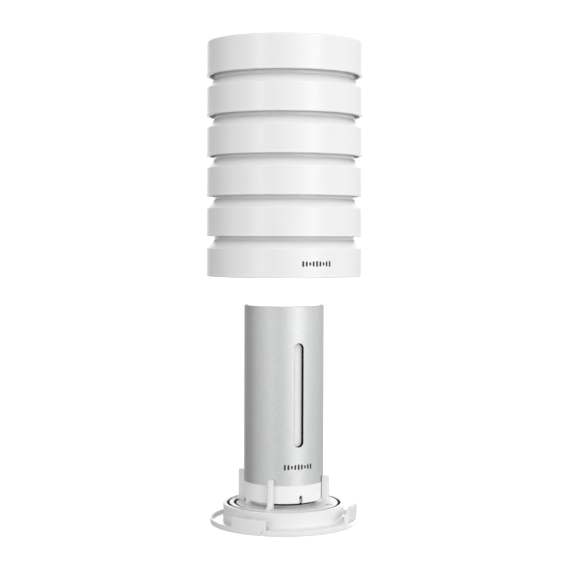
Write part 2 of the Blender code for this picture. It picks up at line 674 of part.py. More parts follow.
def base_mesh():
    """Flange and drum with two grooves, a bowl for the cradle, strip windows and screw holes."""
    outline = (
        (0, 0), (FLANGE_RADIUS - EDGE, 0), (FLANGE_RADIUS, EDGE),
        (FLANGE_RADIUS, FLANGE_THICKNESS - EDGE), (FLANGE_RADIUS - EDGE, FLANGE_THICKNESS),
        (DRUM_FOOT_RADIUS, FLANGE_THICKNESS), (DRUM_RADIUS, DRUM_TOP - EDGE),
        (DRUM_RADIUS - EDGE, DRUM_TOP), (OUTER_GROOVE[1], DRUM_TOP), (OUTER_GROOVE[1], GROOVE_FLOOR),
        (OUTER_GROOVE[0], GROOVE_FLOOR), (OUTER_GROOVE[0], DRUM_TOP), (INNER_GROOVE[0], DRUM_TOP),
        (INNER_GROOVE[0], BOWL_FLOOR), (0, BOWL_FLOOR),
    )
    window = DRUM_FOOT_RADIUS + EDGE
    section = (window, FLANGE_RADIUS + REACH, -REACH, FLANGE_THICKNESS + REACH)
    cuts = [
        bar(*section, -STRIP_REAR, PANEL_SPAN[1] + WINDOW_GAP),
        bar(*section, RIGHT_STRIP_START - WINDOW_GAP, STRIP_REAR),
        bar(INNER_GROOVE[0] - REACH, INNER_GROOVE[1], GROOVE_FLOOR, DRUM_TOP + REACH,
            *INNER_GROOVE_SPAN),
    ]
    holes = []
    shanks = []
    for angle in SCREW_ANGLES:
        holes.append(disc_at(SCREW_CIRCLE, angle, SCREW_RECESS[0], -REACH, SCREW_RECESS[1]))
        shanks.append(disc_at(SCREW_CIRCLE, angle, SCREW_HOLE, SCREW_RECESS[1] - REACH,
                              BOWL_FLOOR + REACH))
    pockets = []
    for angle in PAD_ANGLES:
        pockets.append(disc_at(PAD_CIRCLE, angle, PAD_RADIUS + GAP, -REACH, PAD_THICKNESS + GAP, 16))
    guide = bar(GUIDE_INNER, FLANGE_RADIUS, FLANGE_THICKNESS - REACH, GUIDE_TOP, *GUIDE_SPAN, 1.9)
    return carved(turned(outline), add=[guide],
                  remove=cuts + [grouped(holes + pockets), grouped(shanks)])


def clip_meshes():
    """Four upright arms that grip the module, each on a foot that spreads over the deck."""
    arms = []
    toe, instep, ankle = (DRUM_TOP + height for height in CLIP_FOOT_HEIGHTS)
    root = CLIP_INNER + CLIP_ROOT
    for angle, top in zip(CLIP_ANGLES, CLIP_TOPS):
        half = CLIP_WIDTH / 2
        side = (
            (CLIP_INNER, CRADLE_DECK - REACH), (root, CRADLE_DECK - REACH), (root, DRUM_TOP + GAP),
            (CLIP_FOOT, DRUM_TOP + GAP), (CLIP_FOOT, toe), (CLIP_INSTEP, instep),
            (CLIP_OUTER, ankle), (CLIP_OUTER, top - CLIP_CHAMFER),
            (CLIP_OUTER - CLIP_CHAMFER, top), (CLIP_INNER, top),
        )
        arm = prism(side, -half, half)
        arm.transform(Matrix.Rotation(math.radians(90), 4, "X"))
        arm.transform(Matrix.Rotation(math.radians(angle - 90), 4, "Z"))
        arms.append(arm)
    return arms


def cradle_mesh():
    """Round cradle with a raised seat ring and the four clips."""
    rim = INNER_GROOVE[0] - GAP
    bottom = BOWL_FLOOR + GAP
    seat_inner, seat_outer = SEAT_RING
    outline = (
        (CRADLE_BORE, bottom), (rim, bottom), (rim, CRADLE_DECK), (seat_outer, CRADLE_DECK),
        (seat_outer, SEAT_RING_TOP), (seat_inner, SEAT_RING_TOP), (seat_inner, CRADLE_FLOOR),
        (CRADLE_BORE, CRADLE_FLOOR),
    )
    ledges = [bar(*SEAT_PAD, SEAT_RING_TOP - OVERLAP, MODULE_SEAT - GAP, *span)
              for span in SEAT_LEDGES]
    radius, depth = SCREW_SOCKET
    holes = [disc_at(SCREW_CIRCLE, angle, radius, bottom - REACH, bottom + depth)
             for angle in SCREW_ANGLES]
    return carved(turned(outline), add=clip_meshes() + ledges, remove=[grouped(holes)])


def strip_left_mesh():
    """Springy strip with the tall grip panel at its front end."""
    strip = bar(STRIP_INNER, FLANGE_RADIUS, 0, FLANGE_THICKNESS, -STRIP_REAR + WINDOW_GAP,
                PANEL_SPAN[0] + PANEL_OVERLAP)
    panel = bar(PANEL_INNER, FLANGE_RADIUS, 0, PANEL_TOP, *PANEL_SPAN, 3)
    notch = bar(PANEL_INNER - REACH, FLANGE_RADIUS + REACH, -REACH, PANEL_NOTCH_TOP,
                PANEL_NOTCH - PANEL_NOTCH_WIDTH / 2, PANEL_NOTCH + PANEL_NOTCH_WIDTH / 2)
    return carved(panel, add=[strip], remove=[notch])


def latch_mesh():
    """Curved release latch: a bar with a short and a long prong and a slit between them."""
    depth, step_bottom, step_top = LATCH_UNDERCUT
    outline = (
        (LATCH_INNER, LATCH_BOTTOM), (FLANGE_RADIUS - depth, LATCH_BOTTOM),
        (FLANGE_RADIUS - depth, step_bottom), (FLANGE_RADIUS, step_top),
        (FLANGE_RADIUS, LATCH_TOP - LATCH_CHAMFER), (FLANGE_RADIUS - LATCH_CHAMFER, LATCH_TOP),
        (LATCH_INNER, LATCH_TOP),
    )
    inner = LATCH_INNER - REACH
    outer = FLANGE_RADIUS + REACH
    over = LATCH_TOP + REACH
    slit_start, slit_end = LATCH_SLIT
    slit = bar(inner, outer, LATCH_BAR_TOP, over, slit_start, slit_end)
    front = bar(inner, outer, LATCH_FRONT_TOP, over, LATCH_SPAN[0] - REACH, slit_start + OVERLAP)
    slope = bar(inner, outer, LATCH_TOP - LATCH_SLOPE_DROP, over, LATCH_SLOPE, LATCH_SPAN[1] + REACH)
    return carved(swept(outline, *LATCH_SPAN, 2.85), remove=[slit, front, slope])


def make_base():
    """Base shell, groove fillings, cradle, pads, screws, strips and the sprung latch."""
    part("base_shell", base_mesh(), "white")
    fill = ((OUTER_GROOVE[0] + GAP, GROOVE_FLOOR + GAP), (OUTER_GROOVE[1] - GAP, GROOVE_FLOOR + GAP),
            (OUTER_GROOVE[1] - GAP, GROOVE_FILL_TOP), (OUTER_GROOVE[0] + GAP, GROOVE_FILL_TOP))
    part("outer_groove_seal", turned(fill), "black")
    inner_fill = bar(INNER_GROOVE[0] + GAP, INNER_GROOVE[1] - GAP, GROOVE_FLOOR + GAP,
                     GROOVE_FILL_TOP, INNER_GROOVE_SPAN[0] + END_GAP,
                     INNER_GROOVE_SPAN[1] - END_GAP, 6.5)
    part("inner_groove_seal", inner_fill, "black")
    part("cradle", cradle_mesh(), "white")
    pad_inner, pad_outer = SEAT_PAD
    pad_bottom = SEAT_RING_TOP + GAP
    pad_top = MODULE_SEAT - GAP
    pad = bar(pad_inner, pad_outer, pad_bottom, pad_top, *SEAT_PAD_SPAN, 8.6)
    part("seat_pad", pad, "black")

    for number, angle in enumerate(SCREW_ANGLES, 1):
        screw = part(f"cradle_screw_{number}", turned(CRADLE_SCREW, SMALL), "steel")
        screw.location = polar(SCREW_CIRCLE, angle, 0)
    for number, angle in enumerate(PAD_ANGLES, 1):
        foot = disc_at(PAD_CIRCLE, angle, PAD_RADIUS, 0, PAD_THICKNESS, 16)
        part(f"foot_pad_{number}", foot, "black")

    part("squeeze_strip_left", strip_left_mesh(), "white")
    strip_right = bar(STRIP_INNER, FLANGE_RADIUS, 0, FLANGE_THICKNESS, RIGHT_STRIP_START,
                      STRIP_REAR - WINDOW_GAP)
    part("squeeze_strip_right", strip_right, "white")

    latch_middle = (LATCH_SPAN[0] + LATCH_SPAN[1]) / 2
    latch_frame = frame("latch_frame", 0)
    latch_frame.location = polar(LATCH_INNER, latch_middle, LATCH_BAR_TOP)
    latch = part("release_latch", latch_mesh(), "white", latch_frame)
    latch.location = -latch_frame.location
    leaf = prism(LEAF_SIDE, -LEAF_HALF_WIDTH, LEAF_HALF_WIDTH)
    leaf.transform(Matrix.Rotation(math.radians(90), 4, "X"))
    leaf.transform(Matrix.Rotation(math.radians(latch_middle - 90), 4, "Z"))
    part("latch_spring", leaf, "steel")


def main():
    """Clear the scene and build every sub-part."""
    for old in list(bpy.data.objects):
        bpy.data.objects.remove(old)
    make_base()
    make_module()
    make_shield()


main()
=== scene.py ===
"""Looks of the outdoor weather module, its base and its lifted radiation shield.

Sizes are millimetres and degrees until a mesh is written in metres.  Angles run from the front
(-Y) towards +X.  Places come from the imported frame.
"""
import json
import math

import bmesh
import bpy
from mathutils import Matrix, Vector


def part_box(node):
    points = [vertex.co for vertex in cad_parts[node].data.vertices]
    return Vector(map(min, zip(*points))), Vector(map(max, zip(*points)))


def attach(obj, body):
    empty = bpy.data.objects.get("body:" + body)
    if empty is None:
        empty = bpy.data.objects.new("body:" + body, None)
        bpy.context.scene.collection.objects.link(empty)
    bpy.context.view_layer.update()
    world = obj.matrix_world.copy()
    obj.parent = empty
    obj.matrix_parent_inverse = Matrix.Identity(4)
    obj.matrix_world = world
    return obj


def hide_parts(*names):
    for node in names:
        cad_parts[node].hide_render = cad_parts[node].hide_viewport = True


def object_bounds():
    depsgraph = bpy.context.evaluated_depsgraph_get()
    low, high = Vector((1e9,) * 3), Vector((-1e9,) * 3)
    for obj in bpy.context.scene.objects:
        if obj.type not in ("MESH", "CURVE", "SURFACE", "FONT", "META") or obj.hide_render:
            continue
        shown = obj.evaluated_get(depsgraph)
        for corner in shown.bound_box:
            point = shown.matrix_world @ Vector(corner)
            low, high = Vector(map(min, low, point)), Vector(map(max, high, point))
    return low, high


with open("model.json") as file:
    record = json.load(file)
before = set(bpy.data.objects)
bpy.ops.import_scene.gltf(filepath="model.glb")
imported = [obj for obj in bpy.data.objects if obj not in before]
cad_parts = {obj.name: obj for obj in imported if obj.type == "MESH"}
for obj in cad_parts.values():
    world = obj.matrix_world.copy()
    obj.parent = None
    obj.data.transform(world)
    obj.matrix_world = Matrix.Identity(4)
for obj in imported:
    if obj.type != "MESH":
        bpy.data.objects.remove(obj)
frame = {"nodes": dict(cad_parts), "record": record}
cad_low, cad_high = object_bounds()

MM = 0.001
ROUND = 180                  # sides of a large turned piece
TUBE_SIDES = 120
DISC_SIDES = 40
ARC_STEPS = 16               # steps along a half circle
FINE_STEP = 1.5              # degrees between the sections of a curved bar
SHARP_ANGLE = 32             # edges bent more than this stay crisp
GAP = 0.3                    # between two solids that lie next to each other
SKIN = 0.02                  # keeps two surfaces from coinciding
OVER = 1.0                   # how far a cutter reaches past what it cuts


def low(node):
    """Lowest corner of a CAD node, in millimetres."""
    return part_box(node)[0] / MM


def high(node):
    """Highest corner of a CAD node, in millimetres."""
    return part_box(node)[1] / MM


# ---------------------------------------------------------------- sizes from the frame

SHIELD_RADIUS = high("shield_roof").x
SHIELD_TOP = high("shield_roof").z
RINGS = [name for name in sorted(frame["nodes"]) if name.startswith("louvre_ring_")]
RING_RIMS = [low(name).z for name in RINGS]
PITCH = RING_RIMS[1] - RING_RIMS[0]
ROOF_RIM = RING_RIMS[-1] + PITCH

TUBE_RADIUS = high("sensor_tube").x
TUBE_TOP = high("sensor_tube").z
MODULE_TOP = high("top_cap").z
COVER_BOTTOM = low("battery_cover").z
COVER_SHOULDER = low("sensor_tube").z - GAP
GUIDE_MARGIN = 2.0           # how far the light guide reaches past the slot's ends
SLOT_BOTTOM = low("slot_diffuser").z + GUIDE_MARGIN
SLOT_TOP = high("slot_diffuser").z - GUIDE_MARGIN

FLANGE_RADIUS = high("base_shell").y
FLANGE_THICKNESS = high("squeeze_strip_right").z
SEAL_TOP = high("outer_groove_seal").z
SEAL_SINK = 0.3              # how far the seals lie below the top of the drum
DRUM_TOP = SEAL_TOP + SEAL_SINK
GROOVE_FLOOR = low("outer_groove_seal").z - GAP
BOWL_FLOOR = low("cradle").z - GAP
DECK_SINK = 0.2
CRADLE_DECK = DRUM_TOP - DECK_SINK
PANEL_TOP = high("squeeze_strip_left").z
LATCH_BOTTOM = low("release_latch").z
LATCH_TOP = high("release_latch").z
REAR_CLIP_TOP = high("cradle").z
CLIP_DROP = 1.3              # how much lower the two front clips are
FRONT_CLIP_TOP = REAR_CLIP_TOP - CLIP_DROP
SEAT_TOP = high("seat_pad").z
SEAT_RING_TOP = low("seat_pad").z - GAP

# ---------------------------------------------------------------- sizes of the fine shapes

BEAD_DEPTH = 0.12            # how far the thin bead at a rim stands out from the skirt
BEAD_HEIGHT = 1.2
BEAD_SLOPE = 0.2
WALL_RADIUS = SHIELD_RADIUS - BEAD_DEPTH
SKIRT_INNER = SHIELD_RADIUS - 1.7
SKIRT_HEIGHT = 15.6          # the heights of a louvre start at its own rim
SHOULDER_WALL = 1.5
THROAT_RADIUS = 39.4
THROAT_INNER = 37.8
THROAT_FOOT = 20.6
THROAT_TOP = 26.0
ROD_CIRCLE = 33.0
ROD_ANGLES = (90, 210, 330)
ROD_HOLE_RADIUS = 1.8
LUG_BOTTOM = 22.6
LUG_THICKNESS = 2.5
LUG_RADIUS = 4.2
LUG_STEPS = 24
LUG_ROOT = THROAT_INNER + 0.8
BOSS_RADIUS = 3.6
ROOF_THICKNESS = 2.0
ROOF_BOSS_BOTTOM = ROOF_RIM + 7.25
INSERT_HOLE_RADIUS = 2.9
INSERT_ROOF = 1.0            # what is left between an insert's hole and the ceiling

TUBE_WALL = 1.5
TUBE_BEVEL = 0.28
SLOT_WIDTH = 5.6
SLOT_SHADE_WALL = 0.22            # wall of the black sheet that paints the shade in the slot
SLOT_SHADE_SINK = 0.55            # how far it lies below the tube's surface
LID_WALL = 1.6
LID_HOLLOW = 3.8
COLLAR_RADIUS = 19.6
COLLAR_WALL = 1.5
COVER_FLOOR = 2.0
NOTCH_ANGLE = 3.4
NOTCH_WIDTH = 1.9
NOTCH_HEIGHT = 4.4
NOTCH_BACK = 20.0
NOTCH_SHADE_MARGIN = 0.03
NOTCH_SHADE_FOOT = 0.1
CATCH_SINK = 0.6

DRUM_FOOT_RADIUS = 34.0
DRUM_RADIUS = 34.4
OUTER_GROOVE = (30.7, 32.3)
INNER_GROOVE = (26.8, 28.4)
INNER_GROOVE_SPAN = (104, 390)
CRADLE_BORE = 9.0
CRADLE_WALL = 1.5
CRADLE_PLAY = 0.1
SEAT_INNER = 16.4
SEAT_OUTER = 19.4
SEAT_UNDERCUT = 2.4          # how far the ring's wall leans in at its foot
SEAT_SHADE_LIP = SEAT_RING_TOP - 0.3       # the pad's black lip, painted shade under the cover, hangs over the ring's edge down to here
SEAT_WALL = SEAT_OUTER - 0.25        # radius of the ring's wall behind that edge of the pad
SEAT_PAD = (16.7, 19.2)
SEAT_PAD_SPAN = (-42.0, 225.0)
SEAT_LEDGES = ((-123.0, -90.0), (-82.0, -45.0))
CLIPS = (
    (-39, FRONT_CLIP_TOP), (51, FRONT_CLIP_TOP), (141, REAR_CLIP_TOP), (231, REAR_CLIP_TOP),
)
CLIP_WIDTH = 3.0
CLIP_INNER = 22.9
CLIP_OUTER = 26.8
CLIP_CORNER = 0.9            # fillet of a clip's outer corners
CLIP_STEM = CLIP_INNER + 2.4         # the arm's part that goes down into the deck
CLIP_FOOT = 29.2             # reach of the foot
CLIP_PLAY = 0.1              # how far the foot stays inside the arm's outline
CLIP_SOLE = DRUM_TOP + 0.05
CLIP_TOE = DRUM_TOP + 0.45
CLIP_INSTEP = ((1.0, 0.9), (0.1, 1.9), (-0.9, 3.4))     # outside the arm, above the drum
STRIP_INNER = 40.4
STRIP_REAR = 152.0
STRIP_PLAY = 0.1             # degrees between the end of a strip and its window
WINDOW_HEADROOM = 0.9
PANEL_SPAN = (-65.8, -35.5)
PANEL_INNER = 40.2
PANEL_OVERLAP = 3.0          # degrees of the strip that lie in the panel
PANEL_NOTCH = (-39.1, -37.9)
NOTCH_SINK = 0.4
POST_SPAN = (32.5, 38.2)     # the latch's guide post
POST_INNER = 40.4
POST_BOTTOM = 1.0
POST_TOP = 8.1
POST_STEP = 0.5
LATCH_SPAN = (39.0, 67.5)
LATCH_INNER = 39.4
LATCH_SLIT = (41.4, 43.2)
LATCH_SLIT_FLOOR = 8.6
LATCH_FRONT_TOP = 10.9
LATCH_STEP = 0.7             # how far the latch's foot stands back from its face
LATCH_STEP_SPAN = (4.2, 4.5)
LATCH_CHAMFER = 0.8
LATCH_REAR_START = 60.0
LATCH_REAR_DROP = 1.6
RIGHT_STRIP_START = 68.6

MARK_BARS = 9
MARK_BAR_WIDTH = 1.05
MARK_BAR_STEPS = 6
MARK_PERIOD = 4              # bars from one tall bar to the next
MARK_LOW = 0.6               # height of the lowest bar as a share of the tallest
MARK_HEIGHT = 3.2
MARK_LENGTH = 15.7
MARK_DEPTH = 0.12
BAND_MARK_ANGLE = 1.8
BAND_MARK_CENTRE = RING_RIMS[0] + 7.7
TUBE_MARK_ANGLE = -0.3
TUBE_MARK_CENTRE = COVER_BOTTOM + 20.3

# Camera, in the photograph's place
CAMERA_AZIMUTH = -22.0
CAMERA_DISTANCE = 791.0
CAMERA_HEIGHT = 163.2
CAMERA_PITCH = -2.085
CAMERA_ROLL = 0.15
CAMERA_SIDE = 0.5            # sideways step of the camera, to its right
CAMERA_CLIP = 50.0
SENSOR_WIDTH = 36.0
FOCAL_RATIO = 2.45614        # focal length over the width of the picture

# Light level by azimuth, seen from the camera, and its share by elevation
LIGHT_ROUND = (
    (-180, 1.60), (-160, 1.10), (-140, 0.45), (-110, 0.30), (-80, 1.00), (-60, 0.85), (-47, 1.15),
    (-43, 1.50), (-31, 1.85), (-28, 0.90), (-10, 0.85), (5, 1.12), (20, 1.45), (30, 1.75),
    (35, 2.20), (50, 2.20), (55, 1.40), (70, 1.05), (90, 1.20), (120, 0.95), (145, 0.75),
    (160, 1.10), (180, 1.60),
)
LIGHT_UPWARD = (
    (-90, 0.20), (-30, 0.35), (-8, 0.70), (4, 1.15), (20, 1.25), (35, 1.05), (60, 0.60), (90, 0.50),
)
LIGHT_SCALE = 2.4
LIGHT_LEVEL = 0.96
LAMP_DISTANCE = 1.2          # metres, like the other sizes of the lamps and the stage
LAMP_SIZE = 0.6
LID_LAMP_POWER = 13.0        # lights the lid, which the lifted shield leaves in the dark
DRUM_LAMP_POWER = 6.5        # lights the drum behind the latch, from the right and the rear
DRUM_LAMP_AZIMUTH = 140.0    # seen from the camera
DRUM_LAMP_ELEVATION = 4.0
FLOOR_SIZE = 6.0
FLOOR_DROP = 0.0002
SURROUND_RADIUS = 5.5

# Sockets of a Mix node, which all bear the names Factor, A, B and Result
MIX_FACTOR = 0
MIX_NUMBER_A, MIX_NUMBER_B, MIX_NUMBER_RESULT = 2, 3, 0
MIX_COLOUR_A, MIX_COLOUR_B, MIX_COLOUR_RESULT = 6, 7, 2


# ---------------------------------------------------------------- camera, stage and light

def placed(name, data):
    """New object in the scene."""
    item = bpy.data.objects.new(name, data)
    bpy.context.collection.objects.link(item)
    return item


def direction(azimuth, elevation=0.0):
    """Unit vector towards an azimuth and elevation, azimuth 0 being the front (-Y)."""
    turn = math.radians(azimuth)
    rise = math.radians(elevation)
    level = math.cos(rise)
    return Vector((math.sin(turn) * level, -math.cos(turn) * level, math.sin(rise)))


def make_camera():
    """Camera at the photograph's viewing angle."""
    data = bpy.data.cameras.new("camera")
    data.sensor_width = SENSOR_WIDTH
    data.lens = FOCAL_RATIO * SENSOR_WIDTH
    data.clip_start = CAMERA_CLIP * MM
    camera = placed("camera", data)
    outward = direction(CAMERA_AZIMUTH)
    sideways = Vector((-outward.y, outward.x, 0))
    place = outward * CAMERA_DISTANCE + sideways * CAMERA_SIDE
    place.z = CAMERA_HEIGHT
    camera.location = place * MM
    tilt = Matrix.Rotation(math.radians(90 + CAMERA_PITCH), 4, "X")
    roll = Matrix.Rotation(math.radians(CAMERA_ROLL), 4, "Z")
    turn = Matrix.Rotation(math.radians(CAMERA_AZIMUTH), 4, "Z")
    camera.rotation_euler = (turn @ tilt @ roll).to_euler()
    bpy.context.scene.camera = camera


def ramp_of(owner, source, stops, scale):
    """Grey ramp through (position, level) stops, positions and levels from 0 to 1 after scaling."""
    node = owner.node_tree.nodes.new("ShaderNodeValToRGB")
    elements = node.color_ramp.elements
    for _ in range(len(stops) - 2):
        elements.new(0.5)
    for element, (position, level) in zip(elements, stops):
        element.position = position
        element.color = (level / scale, level / scale, level / scale, 1)
    owner.node_tree.links.new(source, node.inputs["Fac"])
    return node.outputs["Color"]


def make_surround_light():
    """Soft studio light by direction: dark on the left, a narrow box left of the camera and a broad
    one to its right, brightest a little above eye level."""
    world = bpy.data.worlds.new("studio")
    bpy.context.scene.world = world
    world.use_nodes = True
    nodes = world.node_tree.nodes
    links = world.node_tree.links
    coordinates = nodes.new("ShaderNodeTexCoord")
    turn = nodes.new("ShaderNodeVectorRotate")
    turn.rotation_type = "Z_AXIS"
    turn.inputs["Angle"].default_value = math.radians(-CAMERA_AZIMUTH)
    links.new(coordinates.outputs["Generated"], turn.inputs["Vector"])
    parts = nodes.new("ShaderNodeSeparateXYZ")
    links.new(turn.outputs["Vector"], parts.inputs[0])
    forward = nodes.new("ShaderNodeMath")
    forward.operation = "MULTIPLY"
    forward.inputs[1].default_value = -1.0
    links.new(parts.outputs["Y"], forward.inputs[0])
    azimuth = nodes.new("ShaderNodeMath")
    azimuth.operation = "ARCTAN2"
    links.new(parts.outputs["X"], azimuth.inputs[0])
    links.new(forward.outputs[0], azimuth.inputs[1])
    round_place = spread(world, azimuth.outputs[0], 0, 1, -math.pi, math.pi)
    round_stops = [((angle + 180) / 360, level) for angle, level in LIGHT_ROUND]
    up_place = spread(world, parts.outputs["Z"], 0, 1, -1, 1)
    up_stops = [((math.sin(math.radians(angle)) + 1) / 2, level) for angle, level in LIGHT_UPWARD]
    product = nodes.new("ShaderNodeMix")
    product.data_type = "RGBA"
    product.blend_type = "MULTIPLY"
    product.inputs[MIX_FACTOR].default_value = 1.0
    links.new(ramp_of(world, round_place, round_stops, LIGHT_SCALE), product.inputs[MIX_COLOUR_A])
    links.new(ramp_of(world, up_place, up_stops, 1.0), product.inputs[MIX_COLOUR_B])
    background = nodes["Background"]
    links.new(product.outputs[MIX_COLOUR_RESULT], background.inputs["Color"])
    background.inputs["Strength"].default_value = LIGHT_SCALE * LIGHT_LEVEL


def make_fill_lamp(name, place, power, item):
    """Shadowless lamp that lights one piece alone, pointed at the axis."""
    data = bpy.data.lights.new(name, "AREA")
    data.shape = "DISK"
    data.size = LAMP_SIZE
    data.energy = power
    data.use_shadow = False
    lamp = placed(name, data)
    lamp.location = place
    lamp.rotation_euler = (-place).to_track_quat("-Z", "Y").to_euler()
    receivers = bpy.data.collections.new(name + "_receivers")
    receivers.objects.link(item)
    lamp.light_linking.receiver_collection = receivers


def glowing(name, bm, albedo, roughness, glow):
    """White piece of the stage that lights nothing and isn't mirrored in anything."""
    mesh = bpy.data.meshes.new(name)
    bm.to_mesh(mesh)
    bm.free()
    material, shader = new_material(name + "_white")
    shader.inputs["Base Color"].default_value = (albedo, albedo, albedo, 1)
    shader.inputs["Roughness"].default_value = roughness
    shader.inputs["Emission Color"].default_value = (1, 1, 1, 1)
    shader.inputs["Emission Strength"].default_value = glow
    mesh.materials.append(material)
    item = placed(name, mesh)
    item.visible_diffuse = False
    item.visible_glossy = False
    return item


def make_stage():
    """Plain white floor and a white surround that only the camera sees."""
    bm = bmesh.new()
    bmesh.ops.create_grid(bm, x_segments=1, y_segments=1, size=FLOOR_SIZE)
    floor = glowing("floor", bm, albedo=0.80, roughness=0.9, glow=0.55)
    floor.location.z = cad_low.z - FLOOR_DROP

    bm = bmesh.new()
    bmesh.ops.create_uvsphere(bm, u_segments=48, v_segments=24, radius=SURROUND_RADIUS)
    surround = glowing("surround", bm, albedo=0, roughness=0.5, glow=1.05)
    surround.visible_transmission = False
    surround.visible_shadow = False


# ---------------------------------------------------------------- materials

def new_material(name):
    """Material with its Principled shader."""
    material = bpy.data.materials.new(name)
    material.use_nodes = True
    return material, material.node_tree.nodes["Principled BSDF"]


def noise_of(material, scale, detail=3.0, roughness=0.55):
    """Noise over the object's own metres, from 0 to 1."""
    nodes = material.node_tree.nodes
    coordinates = nodes.new("ShaderNodeTexCoord")
    noise = nodes.new("ShaderNodeTexNoise")
    noise.inputs["Scale"].default_value = scale
    noise.inputs["Detail"].default_value = detail
    noise.inputs["Roughness"].default_value = roughness
    material.node_tree.links.new(coordinates.outputs["Object"], noise.inputs["Vector"])
    return noise.outputs["Fac"]


def spread(owner, source, low_value, high_value, start=0.3, stop=0.7):
    """Maps a range of a source, such as a noise's middle, to a range of values."""
    node = owner.node_tree.nodes.new("ShaderNodeMapRange")
    node.inputs["From Min"].default_value = start
    node.inputs["From Max"].default_value = stop
    node.inputs["To Min"].default_value = low_value
    node.inputs["To Max"].default_value = high_value
    owner.node_tree.links.new(source, node.inputs["Value"])
    return node.outputs["Result"]


def tinted(material, shader, factor, dark, light):
    """Colours the surface between two colours by a factor."""
    node = material.node_tree.nodes.new("ShaderNodeMix")
    node.data_type = "RGBA"
    node.inputs[MIX_COLOUR_A].default_value = (*dark, 1)
    node.inputs[MIX_COLOUR_B].default_value = (*light, 1)
    links = material.node_tree.links
    links.new(factor, node.inputs[MIX_FACTOR])
    links.new(node.outputs[MIX_COLOUR_RESULT], shader.inputs["Base Color"])


def glossed(material, shader, source, smooth, rough):
    """Varies the roughness between two values by a texture."""
    roughness = spread(material, source, smooth, rough)
    material.node_tree.links.new(roughness, shader.inputs["Roughness"])


def bumped(material, shader, source, distance):
    """Raises the surface by a height texture."""
    node = material.node_tree.nodes.new("ShaderNodeBump")
    node.inputs["Distance"].default_value = distance
    node.inputs["Strength"].default_value = 1.0
    material.node_tree.links.new(source, node.inputs["Height"])
    material.node_tree.links.new(node.outputs["Normal"], shader.inputs["Normal"])


def plastic(name, colour, roughness, grain, depth, variation, ior=1.47):
    """Moulded plastic with a fine grain, faint cloudiness and uneven gloss."""
    material, shader = new_material(name)
    cloud = noise_of(material, 38.0, detail=2.0)
    fine = noise_of(material, grain, detail=4.0, roughness=0.6)
    dark = [c * (1 - variation) for c in colour]
    light = [min(1.0, c * (1 + variation)) for c in colour]
    tinted(material, shader, spread(material, cloud, 0, 1), dark, light)
    glossed(material, shader, fine, roughness * 0.9, roughness * 1.15)
    shader.inputs["IOR"].default_value = ior
    bumped(material, shader, fine, depth)
    return material


def blasted_aluminium(name):
    """Bead-blasted, anodised aluminium: a satin metal full of tiny bright and dark facets."""
    material, shader = new_material(name)
    beads = noise_of(material, 1500.0, detail=5.0, roughness=0.75)
    patches = noise_of(material, 260.0, roughness=0.6)
    mix = material.node_tree.nodes.new("ShaderNodeMix")
    mix.inputs[MIX_FACTOR].default_value = 0.06
    material.node_tree.links.new(beads, mix.inputs[MIX_NUMBER_A])
    material.node_tree.links.new(patches, mix.inputs[MIX_NUMBER_B])
    factor = spread(material, mix.outputs[MIX_NUMBER_RESULT], 0, 1, 0.36, 0.64)
    tinted(material, shader, factor, (0.63, 0.635, 0.64), (0.77, 0.775, 0.78))
    glossed(material, shader, beads, 0.42, 0.56)
    shader.inputs["Metallic"].default_value = 1.0
    bumped(material, shader, beads, 0.00004)
    return material


def metal(name, colour, roughness):
    """Plain metal with a fine mottle."""
    material, shader = new_material(name)
    marks = noise_of(material, 700.0, detail=4.0, roughness=0.65)
    dark = [c * 0.9 for c in colour]
    tinted(material, shader, spread(material, marks, 0, 1), dark, colour)
    glossed(material, shader, marks, roughness, roughness + 0.12)
    shader.inputs["Metallic"].default_value = 1.0
    bumped(material, shader, marks, 0.000005)
    return material


def rubber(name):
    """Matt black rubber with a dusty grain."""
    material, shader = new_material(name)
    grain = noise_of(material, 1100.0, detail=4.0)
    tinted(material, shader, spread(material, grain, 0, 1), (0.003, 0.003, 0.003),
           (0.009, 0.009, 0.009))
    glossed(material, shader, grain, 0.75, 0.9)
    shader.inputs["Specular IOR Level"].default_value = 0.12
    bumped(material, shader, grain, 0.00001)
    return material


def milky(name):
    """Cloudy light guide with a faint painted glow that brightens it; the guide is no lamp."""
    material = plastic(name, (0.86, 0.87, 0.87), roughness=0.3, grain=600.0, depth=0.000004,
                       variation=0.03)
    shader = material.node_tree.nodes["Principled BSDF"]
    # painted glow: emission that makes the guide look brighter, not light from inside it
    shader.inputs["Emission Color"].default_value = (1, 1, 1, 1)
    shader.inputs["Emission Strength"].default_value = 0.12
    return material


def board_laminate(name):
    """Green solder mask with copper tracks showing through as lighter lines."""
    material, shader = new_material(name)
    nodes = material.node_tree.nodes
    links = material.node_tree.links
    coordinates = nodes.new("ShaderNodeTexCoord")
    mapping = nodes.new("ShaderNodeMapping")
    mapping.inputs["Rotation"].default_value = (math.radians(90), 0, 0)
    tracks = nodes.new("ShaderNodeTexBrick")
    tracks.inputs["Scale"].default_value = 90.0
    tracks.inputs["Mortar Size"].default_value = 0.035
    tracks.inputs["Color1"].default_value = (0.010, 0.105, 0.040, 1)
    tracks.inputs["Color2"].default_value = (0.012, 0.125, 0.048, 1)
    tracks.inputs["Mortar"].default_value = (0.035, 0.260, 0.110, 1)
    links.new(coordinates.outputs["Object"], mapping.inputs["Vector"])
    links.new(mapping.outputs["Vector"], tracks.inputs["Vector"])
    links.new(tracks.outputs["Color"], shader.inputs["Base Color"])
    roughness = spread(material, tracks.outputs["Fac"], 0.32, 0.45, 0, 1)
    links.new(roughness, shader.inputs["Roughness"])
    bumped(material, shader, tracks.outputs["Fac"], 0.00002)
    return material


